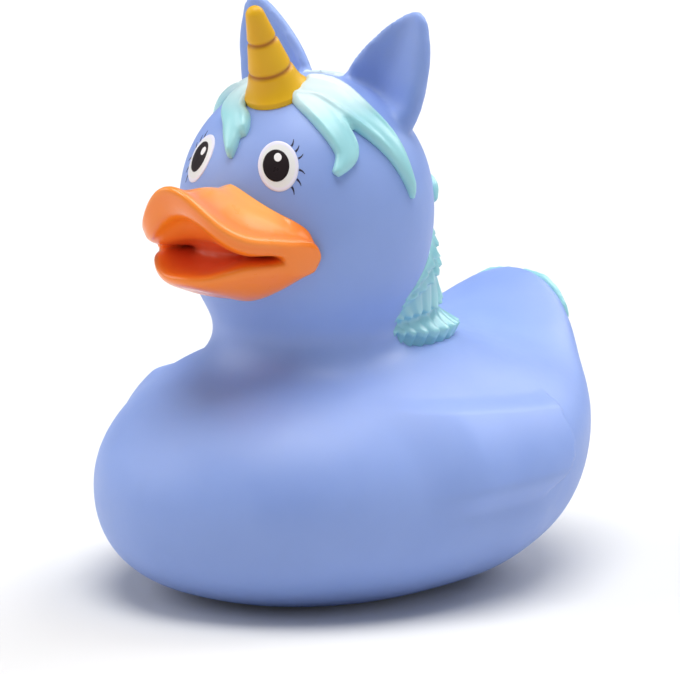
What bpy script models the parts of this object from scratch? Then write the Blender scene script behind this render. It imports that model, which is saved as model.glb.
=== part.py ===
"""Rubber duck with a horn and a mane: a hollow soft-vinyl bath toy, moulded in one piece.

Metres, +Z up. The duck looks along -Y and its left side is at +X. It stands on z = 0 with the
middle of its bounding box over the origin. Bill, horn and hair are painted areas of the moulding.
"""

import math

import bmesh
import bpy
from mathutils import Matrix, Vector
from mathutils.bvhtree import BVHTree

# Body, from the chest at -Y to the tail at +Y
BODY_WIDTH = 0.072
CHEST_REACH = 0.046
TAIL_REACH = 0.0492
WIDEST_LEVEL = 0.017
BACK_HEIGHT = 0.041
TAIL_HEIGHT = 0.0438
BELLY_DEPTH = 0.0187
UPPER_FULLNESS = 2.0
BELLY_FULLNESS = 2.35
CHEST_FULLNESS = 2.8

# Wings, low relief on the flanks
WING_FRONT = -0.0215
WING_REAR = 0.0135
WING_TOP = 0.0325
WING_BOTTOM = 0.0155
WING_TIP = 0.0035
WING_ROUNDING = 0.009
WING_RELIEF = 0.0014

# Neck and head, turned about an upright axis ahead of the body's middle
HEAD_SETBACK = 0.0362
HEAD_AXIS_Y = HEAD_SETBACK - CHEST_REACH
HEAD_RADIUS = 0.0202
HEAD_CENTRE_HEIGHT = 0.0621
CHEEK_DEPTH = 0.0222
CHEEK_FULLNESS = 2.4
NECK_RADIUS = 0.0144
NECK_RISE = 0.002
NECK_WAIST_HEIGHT = BACK_HEIGHT + NECK_RISE
NECK_FILLET = 0.0085

# Moulded wall and the vent in the base
WALL = 0.0023
VENT_DIAMETER = 0.003
VENT_Y = 0.012

# Bill, in sections that fan out from an axis inside the face
BILL_AXIS_SETBACK = 0.012
BILL_LENGTH = 0.0236
BILL_HALF_WIDTH = 0.0146
LOWER_BILL_LENGTH = 0.0208
LOWER_BILL_HALF_WIDTH = 0.0138
MOUTH_DROP = 0.0050
MOUTH_HEIGHT = HEAD_CENTRE_HEIGHT - MOUTH_DROP
BILL_ROOT_RISE = 0.0092
BILL_ROOT_HEIGHT = MOUTH_HEIGHT + BILL_ROOT_RISE
BILL_ROOT_FALL = 0.0073
BILL_HUMP = 0.0009
BILL_RIM_RISE = 0.0024
BILL_RIM_HEIGHT = MOUTH_HEIGHT + BILL_RIM_RISE
BILL_TIP_RISE = 0.0087
BILL_TIP_SPREAD = math.radians(20)
BILL_FAN = math.radians(79)
BILL_ROUND_END = 0.74
BILL_CORNER = 0.60
BILL_CORNER_RUN = 0.16
LIP_ROLL = 0.0009
LIP_DROP = 0.0017
LIP_TIP_DROP = 0.0033
PALATE_SETBACK = 0.0050
MOUTH_GAPE = 0.0042
MOUTH_SLIT = 0.0004
MOUTH_OPEN_FAN = math.radians(6)
MOUTH_SHUT_FAN = math.radians(34)
MOUTH_DEPTH = 0.0060
LOWER_LIP_THICKNESS = 0.0036
CHIN_DROP = 0.0089
CHIN_HEIGHT = MOUTH_HEIGHT - CHIN_DROP
CHIN_SIDE_RISE = 0.0075

# Horn, turned, square to the forehead
HORN_LENGTH = 0.0135
HORN_BASE_RADIUS = 0.0045
HORN_TIP_RADIUS = 0.0015
HORN_LEAN = math.radians(23)
HORN_GROOVES = (0.28, 0.66)
HORN_GROOVE_DEPTH = 0.00035
HORN_GROOVE_WIDTH = 0.0009

# Ears, a leaf with a hollow front
EAR_ROOT = (0.0096, 0.0056, 0.0128)
EAR_LENGTH = 0.0174
EAR_LEAN_OUT = 0.0063
EAR_LEAN_BACK = 0.0018
EAR_TURN = math.radians(6)
EAR_WIDTH = 0.0152
EAR_THICKNESS = 0.0062
EAR_HOLLOW = 0.0028

# Hair, locks laid on the head and neck
LOCK_THICKNESS = 0.0018
FORELOCK_WIDTH = 0.0064
CURL_WIDTH = 0.0076
CURL_THICKNESS = 0.0024
CURL_SIDE_LIFT = 0.8
CREST_THICKNESS = 0.0013
CREST_REACH = 0.0197
CREST_FALL = math.radians(94)
CREST_LOCKS = 3
CREST_SPREAD = math.radians(17)
TUFT_TURN = math.radians(41)
TUFT_THICKNESS = 0.0014
TUFT_PATH = ((-15, 0.0038, 0.0), (-8, 0.0032, 0.0), (-1, 0.0014, 0.0), (2, -0.0006, 0.0))
MANE_RISE = 0.0039
MANE_TOP = HEAD_CENTRE_HEIGHT + MANE_RISE
MANE_SWELL_DROP = 0.0021
MANE_SWELL_TOP = HEAD_CENTRE_HEIGHT - MANE_SWELL_DROP
MANE_BED = 0.0018
MANE_BOTTOM = BACK_HEIGHT - MANE_BED
MANE_SIDE_RISE = 0.001
MANE_SIDE_HEIGHT = NECK_WAIST_HEIGHT + MANE_SIDE_RISE
MANE_HALF = math.radians(92)
MANE_REACH = 0.0135
MANE_SINK = 0.0010
TAIL_HAIR_WIDTH = 0.0046
TAIL_HAIR_THICKNESS = 0.0009
TAIL_HAIR_LOCKS = 5

# Fineness of the mesh
BODY_VOXEL = 0.0018
CAVITY_VOXEL = 0.0034
SKIN_SMOOTHING = 8
OUTER_SHARE = 0.18
CAVITY_SHARE = 0.3
MANE_VOXEL = 0.0011
MANE_SHARE = 0.17
SINK = 0.0012


def material(name, colour, roughness):
    """A painted or bare vinyl surface."""
    made = bpy.data.materials.new(name)
    made.use_nodes = True
    shader = made.node_tree.nodes["Principled BSDF"]
    shader.inputs["Base Color"].default_value = (*colour, 1.0)
    shader.inputs["Roughness"].default_value = roughness
    shader.inputs["Metallic"].default_value = 0.0
    return made


def loft(name, rings, surface):
    """A closed body through rings of equal count, capped at both ends."""
    mesh = bmesh.new()
    rows = [[mesh.verts.new(point) for point in ring] for ring in rings]
    count = len(rows[0])
    for row, after in zip(rows, rows[1:]):
        for i in range(count):
            j = (i + 1) % count
            mesh.faces.new((row[i], row[j], after[j], after[i]))
    mesh.faces.new(rows[0])
    mesh.faces.new(rows[-1])
    bmesh.ops.recalc_face_normals(mesh, faces=mesh.faces)
    data = bpy.data.meshes.new(name)
    mesh.to_mesh(data)
    mesh.free()
    data.materials.append(surface)
    made = bpy.data.objects.new(name, data)
    bpy.context.scene.collection.objects.link(made)
    return made


def settle(made):
    """The object with its modifiers taken into its mesh."""
    evaluated = made.evaluated_get(bpy.context.evaluated_depsgraph_get())
    data = bpy.data.meshes.new_from_object(evaluated)
    made.modifiers.clear()
    made.data = data
    return made


def combine(base, others, operation):
    """The union of closed bodies, or the first less all the others."""
    group = bpy.data.collections.new(operation.lower())
    for other in others:
        group.objects.link(other)
    cut = base.modifiers.new(operation.title(), "BOOLEAN")
    cut.operation = operation
    cut.solver = "EXACT"
    cut.material_mode = "TRANSFER"
    cut.operand_type = "COLLECTION"
    cut.collection = group
    settle(base)
    for other in others:
        bpy.data.objects.remove(other)
    bpy.data.collections.remove(group)
    return base


def fuse(name, parts, surface):
    """Crowded closed bodies melted into one, with soft valleys between them."""
    mesh = bmesh.new()
    for part in parts:
        mesh.from_mesh(part.data)
        bpy.data.objects.remove(part)
    data = bpy.data.meshes.new(name)
    mesh.to_mesh(data)
    mesh.free()
    data.materials.append(surface)
    made = bpy.data.objects.new(name, data)
    bpy.context.scene.collection.objects.link(made)
    remesh = made.modifiers.new("Melt", "REMESH")
    remesh.mode = "VOXEL"
    remesh.voxel_size = MANE_VOXEL
    smooth = made.modifiers.new("Soften", "SMOOTH")
    smooth.factor = 0.5
    smooth.iterations = 2
    fewer = made.modifiers.new("Fewer", "DECIMATE")
    fewer.ratio = MANE_SHARE
    return settle(made)


def curve_through(points, steps):
    """A smooth run of points through the given ones, each a tuple of numbers."""
    ends = [points[0], *points, points[-1]]
    run = []
    for a, b, c, d in zip(ends, ends[1:], ends[2:], ends[3:]):
        for step in range(steps):
            t = step / steps
            run.append(tuple(
                q + 0.5 * t * (r - p + t * (2 * p - 5 * q + 4 * r - s + t * (3 * (q - r) + s - p)))
                for p, q, r, s in zip(a, b, c, d)
            ))
    run.append(tuple(points[-1]))
    return run


def ease(value):
    """A smooth step from 0 to 1."""
    value = min(max(value, 0.0), 1.0)
    return value * value * (3 - 2 * value)


def wing_relief(y, z):
    """How far a wing stands off the flank: sharp behind and above, faint in front and below."""
    rise = (z - WING_BOTTOM) / (WING_TOP - WING_BOTTOM)
    if not 0 < rise < 1.2:
        return 0.0
    behind = WING_REAR - WING_ROUNDING * max(1 - 1.8 * rise, 0.0) ** 2
    behind += WING_TIP * max((rise - 0.65) / 0.35, 0.0) ** 2
    above = WING_TOP - 0.09 * y + 0.3 * WING_TIP * max(y / WING_REAR - 0.6, 0.0) ** 2
    relief = ease((behind - y) / 0.0022) * ease((y - WING_FRONT) / 0.012)
    return WING_RELIEF * relief * ease((above - z) / 0.0028) * ease((z - WING_BOTTOM) / 0.0050)


def body_stations(inset):
    """Sections from chest to tail: place, half width, widest level, top and bottom."""
    half = 0.5 * BODY_WIDTH - inset
    front = CHEST_REACH - inset
    rear = TAIL_REACH - inset
    top = BACK_HEIGHT - inset
    bottom = inset if inset else WIDEST_LEVEL - BELLY_DEPTH
    stations = []
    for turn in (4, 14, 26, 38, 50, 62, 74):
        reach = math.cos(math.radians(turn))
        share = math.sin(math.radians(turn))
        under = (1 - reach ** CHEST_FULLNESS) ** (1 / CHEST_FULLNESS)
        stations.append((
            -front * reach,
            half * share,
            WIDEST_LEVEL,
            WIDEST_LEVEL + (top - WIDEST_LEVEL) * share,
            WIDEST_LEVEL + (bottom - WIDEST_LEVEL) * under,
        ))
    tail_top = TAIL_HEIGHT - inset
    rise = tail_top - WIDEST_LEVEL
    for place, width, level, height, under in (
        (0.04, 1.0, 0.04, 0.88, 0.0),
        (0.20, 0.985, 0.10, 0.86, 0.03),
        (0.38, 0.93, 0.17, 0.80, 0.10),
        (0.55, 0.82, 0.25, 0.745, 0.22),
        (0.70, 0.67, 0.35, 0.75, 0.38),
        (0.82, 0.51, 0.47, 0.85, 0.54),
        (0.91, 0.38, 0.62, 0.955, 0.70),
        (0.965, 0.25, 0.76, 0.99, 0.85),
        (0.995, 0.09, 0.87, 0.95, 1.0),
    ):
        widest = WIDEST_LEVEL + rise * level
        stations.append((
            rear * place,
            half * width,
            widest,
            WIDEST_LEVEL + rise * height,
            bottom + (widest - bottom) * under * 0.95,
        ))
    return stations


def body(name, inset, surface):
    """The body and tail, pulled in by the wall for the cavity."""
    rings = []
    for y, half, level, top, bottom in curve_through(body_stations(inset), 4):
        ring = []
        for i in range(48):
            turn = 2 * math.pi * i / 48
            across = math.cos(turn)
            up = math.sin(turn)
            power = 2 / (UPPER_FULLNESS if up > 0 else BELLY_FULLNESS)
            x = half * math.copysign(abs(across) ** power, across)
            z = level + (top - level if up > 0 else level - bottom) * math.copysign(abs(up) ** power, up)
            if not inset:
                x += math.copysign(wing_relief(y, z) * min(1.0, abs(x) * 3 / BODY_WIDTH), x)
            ring.append((x, y, z))
        rings.append(ring)
    return loft(name, rings, surface)


def head_radius(z, inset=0.0):
    """The radius of the head and neck at a height."""
    radius = HEAD_RADIUS - inset
    neck = NECK_RADIUS - inset
    rise = z - HEAD_CENTRE_HEIGHT
    if rise >= 0:
        return math.sqrt(max(radius * radius - rise * rise, 0.0))
    cheek = radius * max(1 - (-rise / CHEEK_DEPTH) ** CHEEK_FULLNESS, 0.0) ** (1 / CHEEK_FULLNESS)
    if z >= NECK_WAIST_HEIGHT:
        return (cheek ** 8 + neck ** 8) ** 0.125
    fillet = NECK_FILLET + inset
    fall = min(NECK_WAIST_HEIGHT - z, fillet)
    flare = neck + fillet - math.sqrt(fillet * fillet - fall * fall)
    return (cheek ** 8 + flare ** 8) ** 0.125


def head(name, inset, surface):
    """The head and flared neck, ending inside the body."""
    top = HEAD_CENTRE_HEIGHT + HEAD_RADIUS - inset
    foot = NECK_WAIST_HEIGHT - NECK_FILLET + 0.0004
    rings = []
    for i in range(33):
        z = foot + (top - foot) * math.sin(0.5 * math.pi * i / 33)
        radius = max(head_radius(z, inset), 0.0002)
        rings.append([
            (radius * math.cos(a), HEAD_AXIS_Y + radius * math.sin(a), z)
            for a in (2 * math.pi * k / 48 for k in range(48))
        ])
    low = [(x * 0.6, HEAD_AXIS_Y + (y - HEAD_AXIS_Y) * 0.6, foot - 0.008) for x, y, z in rings[0]]
    return loft(name, [low, *rings], surface)


def skin(name, inset, surface, voxel, share):
    """Body and head blended into one soft form."""
    made = combine(body(name, inset, surface), [head(name + "_head", inset, surface)], "UNION")
    remesh = made.modifiers.new("Blend", "REMESH")
    remesh.mode = "VOXEL"
    remesh.voxel_size = voxel
    smooth = made.modifiers.new("Soften", "SMOOTH")
    smooth.factor = 0.5
    smooth.iterations = SKIN_SMOOTHING
    fewer = made.modifiers.new("Fewer", "DECIMATE")
    fewer.ratio = share
    return settle(made)


def head_point(turn, height, proud=0.0):
    """A place on the head: turn from straight ahead towards the left, and height."""
    radius = head_radius(height)
    out = Vector((math.sin(turn), -math.cos(turn), 0.0))
    below = head_radius(height - 0.0004)
    above = head_radius(height + 0.0004)
    slope = Vector((out.x * 0.0008, out.y * 0.0008, below - above)).normalized()
    return Vector((0.0, HEAD_AXIS_Y, height)) + out * radius + slope * proud, slope


def face_reach(fan, z):
    """How far the head's surface lies from the bill's axis at an angle of the fan."""
    side = BILL_AXIS_SETBACK * math.sin(fan)
    return math.sqrt(head_radius(z) ** 2 - side * side) - BILL_AXIS_SETBACK * math.cos(fan)


def bill_section(fan):
    """The closed outline of the bill in the upright plane at one angle of the fan."""
    front = math.exp(-((fan / BILL_TIP_SPREAD) ** 2))
    side = abs(fan) / BILL_FAN
    corner = ease((side - BILL_CORNER) / BILL_CORNER_RUN)
    parted = 1 - 0.85 * corner
    cosine = math.cos(fan)
    sine = math.sin(fan)
    rim = 1 / math.hypot(cosine / BILL_LENGTH, sine / BILL_HALF_WIDTH)
    low = 1 / math.hypot(cosine / LOWER_BILL_LENGTH, sine / LOWER_BILL_HALF_WIDTH)
    root_z = BILL_ROOT_HEIGHT - BILL_ROOT_FALL * side ** 1.4
    rim_z = BILL_RIM_HEIGHT + BILL_TIP_RISE * front - 0.0016 * side ** 4
    open_share = 1 - ease((abs(fan) - MOUTH_OPEN_FAN) / (MOUTH_SHUT_FAN - MOUTH_OPEN_FAN))
    gape = 0.5 * (MOUTH_SLIT + (MOUTH_GAPE - MOUTH_SLIT) * open_share)
    mouth_z = MOUTH_HEIGHT - 0.0009 * side ** 4
    lip_z = max(rim_z - LIP_DROP - LIP_TIP_DROP * front, mouth_z + gape + 0.0005)
    inner = max(low - MOUTH_DEPTH * (1 - 0.4 * side), face_reach(fan, mouth_z) + 0.0004)
    inner = min(inner, low - 0.0016)
    inner += (low - 0.0005 - inner) * corner
    chin_z = CHIN_HEIGHT + CHIN_SIDE_RISE * side ** 3
    thick = LOWER_LIP_THICKNESS * (1 - 0.25 * side) * (1 - 0.3 * front)
    edge = low - 0.0009 * parted
    under_z = mouth_z - gape - thick
    sag = 0.2 + 0.44 * front
    face = min(face_reach(fan, root_z), 0.88 * rim)
    chin = min(face_reach(fan, chin_z), 0.8 * low)
    span = rim - face
    under_span = low - chin
    palate = rim - 0.0020 * parted - PALATE_SETBACK * front
    points = (
        (0.45 * face, root_z),
        (face, root_z),
        (face + 0.35 * span, 0.68 * root_z + 0.32 * rim_z + BILL_HUMP * (0.33 + 0.67 * front)),
        (face + 0.68 * span, 0.30 * root_z + 0.70 * rim_z - 0.33 * BILL_HUMP * front),
        (rim - min(0.9 * LIP_ROLL, 0.2 * span), rim_z + LIP_ROLL),
        (rim, rim_z + 0.2 * LIP_ROLL),
        (rim - 0.5 * LIP_ROLL * parted, rim_z - 0.6 * LIP_ROLL),
        (rim - 0.0006 * parted - 0.0014 * front, 0.45 * (rim_z - 0.6 * LIP_ROLL) + 0.55 * lip_z),
        (rim - 0.0012 * parted - 0.0030 * front, lip_z),
        (palate, mouth_z + gape + 0.0003),
        (inner + 0.5 * (palate - inner), mouth_z + gape),
        (inner, mouth_z + 0.4 * gape),
        (inner, mouth_z - 0.6 * gape),
        (inner + 0.5 * (edge - inner), mouth_z - gape),
        (edge, mouth_z - gape - 0.0004),
        (low, mouth_z - gape - 0.35 * thick),
        (edge, under_z),
        (chin + 0.5 * under_span, sag * under_z + (1 - sag) * chin_z),
        (chin, chin_z),
        (0.45 * chin, chin_z + 0.0008),
    )
    past = max(side - BILL_ROUND_END, 0.0) / (1 - BILL_ROUND_END)
    shrink = max(math.sqrt(1 - past * past), 0.12)
    axis = Vector((0.0, HEAD_AXIS_Y - BILL_AXIS_SETBACK, 0.0))
    return [
        axis + Vector((sine * reach, -cosine * reach, mouth_z + (z - mouth_z) * shrink))
        for reach, z in points
    ]


def bill(surface):
    """Upturned upper bill with rolled lips, open mouth and lower lip."""
    sections = 22
    rings = [bill_section(BILL_FAN * (2 * i / sections - 1)) for i in range(sections + 1)]
    return loft("bill", rings, surface)


def horn(surface):
    """A turned cone with two grooves round it and a rounded tip."""
    profile = [(HORN_BASE_RADIUS * 1.1, -0.004)]
    steps = 20
    for i in range(steps):
        along = i / steps
        height = HORN_LENGTH * along
        radius = HORN_BASE_RADIUS + (HORN_TIP_RADIUS - HORN_BASE_RADIUS) * along ** 0.86
        radius += 0.0007 * math.exp(-height / 0.0012)
        for groove in HORN_GROOVES:
            radius -= HORN_GROOVE_DEPTH * math.exp(
                -(((height - groove * HORN_LENGTH) / (0.5 * HORN_GROOVE_WIDTH)) ** 2)
            )
        profile.append((radius, height))
    for turn in (15, 40, 62, 80):
        a = math.radians(turn)
        profile.append((
            HORN_TIP_RADIUS * math.cos(a),
            HORN_LENGTH + HORN_TIP_RADIUS * (math.sin(a) - 0.1),
        ))
    foot = Vector((
        0.0,
        HEAD_AXIS_Y - HEAD_RADIUS * math.sin(HORN_LEAN),
        HEAD_CENTRE_HEIGHT + HEAD_RADIUS * math.cos(HORN_LEAN),
    ))
    place = Matrix.Translation(foot) @ Matrix.Rotation(HORN_LEAN, 4, "X")
    turns = [math.tau * k / 16 for k in range(16)]
    rings = [[place @ Vector((r * math.cos(a), r * math.sin(a), z)) for a in turns] for r, z in profile]
    return loft("horn", rings, surface)


def ear(side, surface):
    """A leaf that stands off the crown, hollow in front."""
    root = Vector((EAR_ROOT[0], HEAD_AXIS_Y + EAR_ROOT[1], HEAD_CENTRE_HEIGHT + EAR_ROOT[2]))
    rings = []
    shape = (
        (-0.05, 0.86), (0.08, 0.97), (0.25, 1.0), (0.45, 0.93), (0.62, 0.80),
        (0.78, 0.60), (0.90, 0.40), (0.97, 0.22), (1.0, 0.08),
    )
    for along, width in curve_through(shape, 2):
        middle = root + Vector((
            EAR_LEAN_OUT * max(along, 0.0) ** 1.6,
            EAR_LEAN_BACK * along,
            EAR_LENGTH * along,
        ))
        half = 0.5 * EAR_WIDTH * width
        deep = 0.5 * EAR_THICKNESS * (0.35 + 0.65 * width)
        hollow = EAR_HOLLOW * ease(along * 5) * width
        ring = []
        for k in range(16):
            a = math.tau * k / 16
            across = math.cos(a)
            depth = deep * math.sin(a)
            if depth < 0:
                depth += hollow * (1 - across * across) ** 2
            turned = Vector((across * half, depth, 0.0))
            turned.rotate(Matrix.Rotation(EAR_TURN, 3, "Z"))
            point = middle + turned
            ring.append((side * point.x, point.y, point.z))
        rings.append(ring)
    return loft("ear", rings, surface)


def lock(name, path, widths, thickness, place_on, surface):
    """A lock of hair along a path of places on a surface, with its width at each."""
    steps = 2
    route = curve_through([(*place, width) for place, width in zip(path, widths)], steps)
    centres = []
    normals = []
    for turn, height, proud, width in route:
        centre, normal = place_on(turn, height, proud)
        centres.append(centre)
        normals.append(normal)
    rings = []
    for i, (centre, normal) in enumerate(zip(centres, normals)):
        ahead = centres[min(i + 1, len(centres) - 1)] - centres[max(i - 1, 0)]
        across = ahead.cross(normal).normalized()
        width = max(route[i][3], 0.0007)
        half = 0.5 * width
        raised = thickness * min(1.0, width / (1.6 * thickness) + 0.25)
        ring = []
        for k in range(8):
            a = math.tau * k / 8
            up = math.sin(a)
            lift = raised * up if up > 0 else (SINK + route[i][2]) * up
            ring.append(centre + across * half * math.cos(a) + normal * lift)
        rings.append(ring)
    return loft(name, rings, surface)


def forelocks(surface):
    """The fringe: a long strand on each side of the horn and a short lock in front of each."""
    strand = ((33, 0.0188), (60, 0.0180), (76, 0.0143), (85, 0.0108), (90, 0.0068), (93, 0.0020))
    left = ((36, 0.0182), (48, 0.0158), (56, 0.0126), (58, 0.0098), (51, 0.0070))
    right = ((-34, 0.0182), (-24, 0.0160), (-11, 0.0138), (-5, 0.0108), (-3, 0.0080))
    made = []
    for places, widths, sides in (
        (strand, (1.10, 1.15, 0.92, 0.70, 0.46, 0.12), (-1, 1)),
        (left, (0.85, 0.80, 0.72, 0.62, 0.22), (1,)),
        (right, (0.85, 0.80, 0.66, 0.50, 0.14), (1,)),
    ):
        for side in sides:
            path = [
                (math.radians(turn) * side, HEAD_CENTRE_HEIGHT + rise, 0.0)
                for turn, rise in places
            ]
            lengths = [FORELOCK_WIDTH * width for width in widths]
            made.append(lock("fringe", path, lengths, LOCK_THICKNESS, head_point, surface))
    return made


def mane_levels(turn):
    """The lower and upper edge of the mane at a turn: it climbs and narrows towards the cheeks."""
    off = min(abs(turn - math.pi) / MANE_HALF, 1.0)
    low = MANE_BOTTOM + (MANE_SIDE_HEIGHT - 0.0006 - MANE_BOTTOM) * off * off
    return low, MANE_SIDE_HEIGHT + (MANE_TOP - MANE_SIDE_HEIGHT) * (1 - off)


def mane_point(turn, share, proud=0.0):
    """A place on the wedge of hair that fills the nape, and the way out of it."""
    low, high = mane_levels(turn)
    height = low + share * (high - low)
    side = max(math.cos(turn - math.pi), 0.0) ** 1.5

    def reach(z):
        fall = max((MANE_SWELL_TOP - z) / (MANE_SWELL_TOP - MANE_BOTTOM), 0.0)
        return head_radius(z) - MANE_SINK + side * MANE_REACH * fall ** 1.7

    out = Vector((math.sin(turn), -math.cos(turn), 0.0))
    rise = 0.0005
    slope = (out * 2 * rise + Vector((0, 0, reach(height - rise) - reach(height + rise)))).normalized()
    return Vector((0.0, HEAD_AXIS_Y, height)) + out * reach(height) + slope * proud, slope


def mane_core(surface):
    """The solid wedge under the curls, between the nape and the back."""
    rings = []
    levels = 6
    for i in range(levels + 1):
        ring = [
            mane_point(math.pi + MANE_HALF * (k / 7 - 1), i / levels, -0.0006)[0]
            for k in range(15)
        ]
        height = MANE_BOTTOM + (MANE_TOP - MANE_BOTTOM) * i / levels
        ring += [Vector((x, HEAD_AXIS_Y, height)) for x in (0.005, -0.005)]
        rings.append(ring)
    axis = Vector((0.0, HEAD_AXIS_Y, MANE_BOTTOM))
    foot = [axis + 0.8 * (p - axis) - Vector((0.0, 0.0, 0.003)) for p in rings[0]]
    return loft("mane_core", [foot, *rings], surface)


def mane_curls(surface):
    """Four tiers of hooked curls that lap over each other down the nape."""
    made = []
    for top, bottom, turns in (
        (0.42, 0.00, (-76, -38, 0, 38, 76)),
        (0.66, 0.28, (-58, -20, 20, 58)),
        (0.88, 0.50, (-34, 0, 34)),
        (1.06, 0.72, (-13, 13)),
    ):
        for turn in turns:
            hook = math.radians(-8 if turn < 0 else 8)
            end = bottom + CURL_SIDE_LIFT * (math.radians(turn) / MANE_HALF) ** 4 * (1 - bottom)
            path = [
                (math.pi + math.radians(turn) + hook * swing, top + (end - top) * fall, 0.0)
                for fall, swing in ((0, 0), (0.3, 0.7), (0.62, 1.1), (0.9, 0.7), (1, -0.2), (0.8, -0.9))
            ]
            widths = [CURL_WIDTH * width for width in (0.5, 0.85, 1.0, 0.95, 0.75, 0.35)]
            made.append(lock("curl", path, widths, CURL_THICKNESS, mane_point, surface))
    return made


def crest(surface):
    """Locks that lie over the crown from the horn to the nape, and a tuft on each side."""
    made = []
    for i in range(CREST_LOCKS):
        fan = i - (CREST_LOCKS - 1) / 2
        path = []
        for step, share in enumerate((0.0, 0.25, 0.5, 0.75, 1.0)):
            height = HEAD_CENTRE_HEIGHT + CREST_REACH * math.cos(share * CREST_FALL)
            turn = math.pi - fan * CREST_SPREAD * (1.2 - 0.2 * share) + 0.05 * (-1) ** step
            path.append((turn, height, 0.0))
        widths = (0.0040, 0.0062, 0.0062, 0.0058, 0.0026)
        made.append(lock("crest_lock", path, widths, CREST_THICKNESS, head_point, surface))
    for side in (-1, 1):
        path = [
            (math.pi + side * (TUFT_TURN + math.radians(turn)), HEAD_CENTRE_HEIGHT + rise, proud)
            for turn, rise, proud in TUFT_PATH
        ]
        widths = (0.0034, 0.0046, 0.0042, 0.0018)
        made.append(lock("tuft", path, widths, TUFT_THICKNESS, head_point, surface))
    return made


def mane(surface):
    """The mane and the crest melted into one body."""
    return fuse("mane", [mane_core(surface), *mane_curls(surface), *crest(surface)], surface)


def tail_hair(skin_tree, surface):
    """Short locks that fan out from the top of the tail over its back, melted into one body."""

    def tail_point(across, height, proud=0.0):
        place, normal, face, distance = skin_tree.find_nearest(Vector((across, TAIL_REACH, height)))
        return place + normal * proud, normal

    made = []
    for i in range(TAIL_HAIR_LOCKS):
        fan = 2 * i / (TAIL_HAIR_LOCKS - 1) - 1
        drop = 0.0078 + 0.0022 * (1 - abs(fan))
        path = [
            (fan * 0.0012, TAIL_HEIGHT, 0.0),
            (fan * 0.0060, TAIL_HEIGHT - 0.0012 - 0.25 * drop, 0.0),
            (fan * 0.0098, TAIL_HEIGHT - 0.0012 - 0.6 * drop, 0.0),
            (fan * 0.0124, TAIL_HEIGHT - drop, 0.0),
        ]
        widths = [TAIL_HAIR_WIDTH * width for width in (0.55, 1.0, 0.85, 0.25)]
        made.append(lock("tail_lock", path, widths, TAIL_HAIR_THICKNESS, tail_point, surface))
    return fuse("tail_hair", made, surface)


def box(name, low, high, surface):
    """A plain block between two corners."""
    corners = [
        [(low[0], low[1], z), (high[0], low[1], z), (high[0], high[1], z), (low[0], high[1], z)]
        for z in (low[2], high[2])
    ]
    return loft(name, corners, surface)


def vent(surface):
    """The round cutter of the vent through the base."""
    radius = 0.5 * VENT_DIAMETER
    rings = [
        [
            (radius * math.cos(a), VENT_Y + radius * math.sin(a), z)
            for a in (math.tau * k / 24 for k in range(24))
        ]
        for z in (-WALL, 3 * WALL)
    ]
    return loft("vent", rings, surface)


def duck():
    """The whole moulding."""
    blue = material("blue_vinyl", (0.262, 0.376, 0.753), 0.45)
    orange = material("orange_paint", (0.85, 0.22, 0.035), 0.3)
    yellow = material("yellow_paint", (0.70, 0.40, 0.02), 0.35)
    aqua = material("aqua_paint", (0.33, 0.67, 0.72), 0.35)

    made = skin("duck", 0.0, blue, BODY_VOXEL, OUTER_SHARE)
    skin_tree = BVHTree.FromObject(made, bpy.context.evaluated_depsgraph_get())
    features = [ear(-1, blue), ear(1, blue), bill(orange), horn(yellow)]
    hair = [*forelocks(aqua), mane(aqua), tail_hair(skin_tree, aqua)]
    combine(made, features + hair, "UNION")

    reach = BODY_WIDTH + TAIL_REACH
    floor = box("floor", (-reach, -reach, -reach), (reach, reach, 0.0), blue)
    cavity = skin("cavity", WALL, blue, CAVITY_VOXEL, CAVITY_SHARE)
    combine(made, [floor, cavity, vent(blue)], "DIFFERENCE")
    return made


def centre(made):
    """The middle of the bounding box moved over the origin."""
    points = [vertex.co for vertex in made.data.vertices]
    for axis in (0, 1):
        middle = 0.5 * (min(p[axis] for p in points) + max(p[axis] for p in points))
        for point in points:
            point[axis] -= middle


for old in list(bpy.data.objects):
    bpy.data.objects.remove(old)

toy = duck()
centre(toy)
toy.data.shade_smooth()
toy.data.set_sharp_from_angle(angle=math.radians(40))
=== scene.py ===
"""Looks of the rubber duck: soft periwinkle vinyl, painted bill, horn and hair, printed eyes."""

import math

import bmesh
import bpy
from mathutils import Matrix, Vector
from mathutils.bvhtree import BVHTree


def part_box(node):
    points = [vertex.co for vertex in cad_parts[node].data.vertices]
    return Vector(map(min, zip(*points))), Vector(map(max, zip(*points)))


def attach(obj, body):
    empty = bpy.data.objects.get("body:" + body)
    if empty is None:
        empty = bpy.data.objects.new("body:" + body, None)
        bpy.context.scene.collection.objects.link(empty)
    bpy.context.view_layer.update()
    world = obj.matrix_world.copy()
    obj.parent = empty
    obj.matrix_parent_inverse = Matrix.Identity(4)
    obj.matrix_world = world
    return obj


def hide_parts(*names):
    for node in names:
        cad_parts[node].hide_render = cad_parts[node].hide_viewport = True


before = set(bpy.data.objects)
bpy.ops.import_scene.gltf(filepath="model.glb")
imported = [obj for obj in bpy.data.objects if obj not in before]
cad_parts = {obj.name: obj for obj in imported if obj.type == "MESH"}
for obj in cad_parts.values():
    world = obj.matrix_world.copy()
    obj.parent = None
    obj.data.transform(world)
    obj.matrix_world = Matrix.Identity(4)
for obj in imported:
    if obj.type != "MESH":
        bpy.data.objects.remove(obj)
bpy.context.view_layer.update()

# The skin is the outside of the moulding, soft periwinkle vinyl rotated in a closed mould, so body,
# tail, neck, head and ears run into each other with soft fillets and no seams. The hollow inside
# can't be seen and isn't built here: the vent in the base is cut 9 mm deep and ends blind.
BODY_WIDTH = 0.072
CHEST_REACH = 0.046
TAIL_REACH = 0.0492
WIDEST_LEVEL = 0.017
BACK_HEIGHT = 0.041
TAIL_HEIGHT = 0.0438
BELLY_DEPTH = 0.0187
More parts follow.
